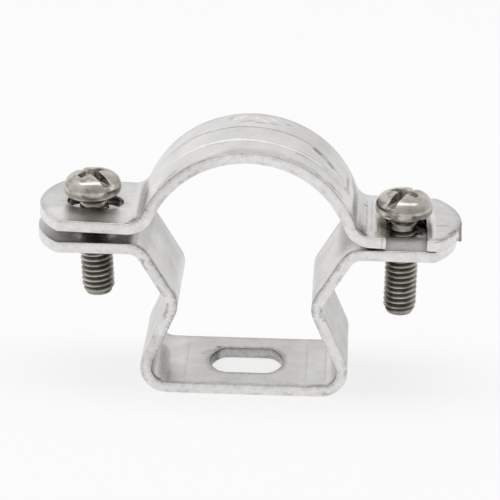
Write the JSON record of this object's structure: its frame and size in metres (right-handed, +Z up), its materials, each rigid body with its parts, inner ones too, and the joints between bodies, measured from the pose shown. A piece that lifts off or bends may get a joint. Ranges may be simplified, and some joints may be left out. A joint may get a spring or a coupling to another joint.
{
  "type": "conduit strap",
  "caption": "Formed sheet bracket with an open cradle, a swing-over top strap and two screws, which clamps a conduit to a channel or surface.",
  "frame": {"origin": "centre of the fixing slot, on the underside of the bracket's foot", "axes": "+X from the hinge screw to the lock screw, +Y along the conduit, away from the mouth of the strap's fork, +Z up from the foot to the crown of the strap"},
  "size_m": [0.0757, 0.02, 0.047],
  "materials": {
    "bracket_sheet": "bare satin sheet with fine burrs along its cut edges",
    "strap_sheet": "bare satin sheet with pressing marks and small dents",
    "screws": "bright bare stainless steel"
  },
  "bodies": {
    "base": {"base_bracket": "bracket_sheet"},
    "strap": {"top_strap": "strap_sheet"},
    "hinge_screw": {"hinge_screw": "screws"},
    "lock_screw": {"lock_screw": "screws"}
  },
  "joints": [
    {"name": "strap_swing", "type": "hinge", "parent": "base", "child": "strap", "pos_m": [-0.0274, 0, 0.0308], "axis": [0, 0, 1], "range_deg": [0, 180]},
    {"name": "hinge_screw_travel", "type": "slide", "parent": "base", "child": "hinge_screw", "axis": [0, 0, 1], "range_m": [-0.0011, 0.011]},
    {"name": "lock_screw_travel", "type": "slide", "parent": "base", "child": "lock_screw", "axis": [0, 0, 1], "range_m": [-0.0002, 0.013]}
  ]
}
